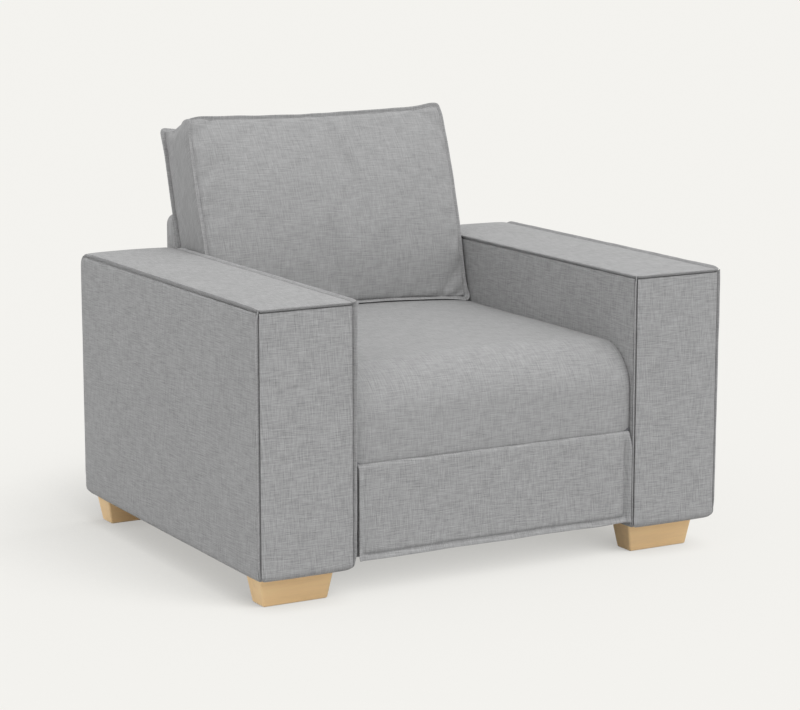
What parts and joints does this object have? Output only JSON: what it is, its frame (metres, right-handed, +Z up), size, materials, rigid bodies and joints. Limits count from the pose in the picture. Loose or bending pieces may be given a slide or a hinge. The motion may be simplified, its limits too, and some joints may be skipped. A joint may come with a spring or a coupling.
{
  "type": "armchair",
  "caption": "Upholstered armchair with block arms, a sprung tight seat with a hanging front skirt, a loose leaning back cushion with flanged seams, and tapered wooden feet.",
  "frame": {"origin": "on the floor, below the middle of the chair's bounding box", "axes": "+Z up, the sitter faces -Y, +X to the right of someone who looks at the front"},
  "size_m": [0.996, 0.8496, 0.8164],
  "materials": {
    "upholstery": "matte",
    "foot_wood": "satin",
    "frame_board": "matte",
    "frame_timber": "matte",
    "foam": "matte",
    "fibre_filling": "matte",
    "felt": "matte",
    "dust_cloth": "matte",
    "webbing": "matte",
    "spring_steel": "satin",
    "zinc_steel": "satin",
    "zip_tape": "matte",
    "zip_metal": "satin"
  },
  "bodies": {
    "chair_frame": {"arm_bolts": "zinc_steel", "arm_tnuts": "zinc_steel", "arm_washers": "zinc_steel", "back_bolts": "zinc_steel", "back_bottom_rail": "frame_timber", "back_cover": "upholstery", "back_left_upright": "frame_timber", "back_padding": "foam", "back_right_upright": "frame_timber", "back_straps": "webbing", "back_tnuts": "zinc_steel", "back_top_rail": "frame_timber", "back_washers": "zinc_steel", "dust_cloth": "dust_cloth", "foot_studs": "zinc_steel", "foot_tnuts": "zinc_steel", "front_left_foot": "foot_wood", "front_right_foot": "foot_wood", "left_arm_bottom_board": "frame_board", "left_arm_cover": "upholstery", "left_arm_front_board": "frame_board", "left_arm_inner_panel": "frame_board", "left_arm_outer_panel": "frame_board", "left_arm_padding": "foam", "left_arm_rear_board": "frame_board", "left_arm_top_board": "frame_board", "rear_left_foot": "foot_wood", "rear_right_foot": "foot_wood", "right_arm_bottom_board": "frame_board", "right_arm_cover": "upholstery", "right_arm_front_board": "frame_board", "right_arm_inner_panel": "frame_board", "right_arm_outer_panel": "frame_board", "right_arm_padding": "foam", "right_arm_rear_board": "frame_board", "right_arm_top_board": "frame_board", "seat_corner_blocks": "frame_timber", "seat_cover": "upholstery", "seat_foam": "foam", "seat_front_rail": "frame_timber", "seat_left_rail": "frame_timber", "seat_rear_rail": "frame_timber", "seat_right_rail": "frame_timber", "seat_springs": "spring_steel", "spring_clips": "spring_steel", "spring_felt": "felt"},
    "back_cushion": {"cushion_filling": "fibre_filling", "cushion_cover": "upholstery", "zip_tape": "zip_tape"},
    "skirt": {"front_skirt": "upholstery"},
    "zip_pull": {"zip_slider": "zip_metal"}
  },
  "joints": [
    {"name": "cushion_lift", "type": "slide", "parent": "chair_frame", "child": "back_cushion", "axis": [0, 0, 1], "range_m": [0, 0.25]},
    {"name": "skirt_swing", "type": "hinge", "parent": "chair_frame", "child": "skirt", "pos_m": [0, -0.41425, 0.25], "axis": [-1, 0, 0], "range_deg": [0, 85]},
    {"name": "zip_slide", "type": "slide", "parent": "back_cushion", "child": "zip_pull", "axis": [-1, 0, 0], "range_m": [0, 0.42]}
  ]
}
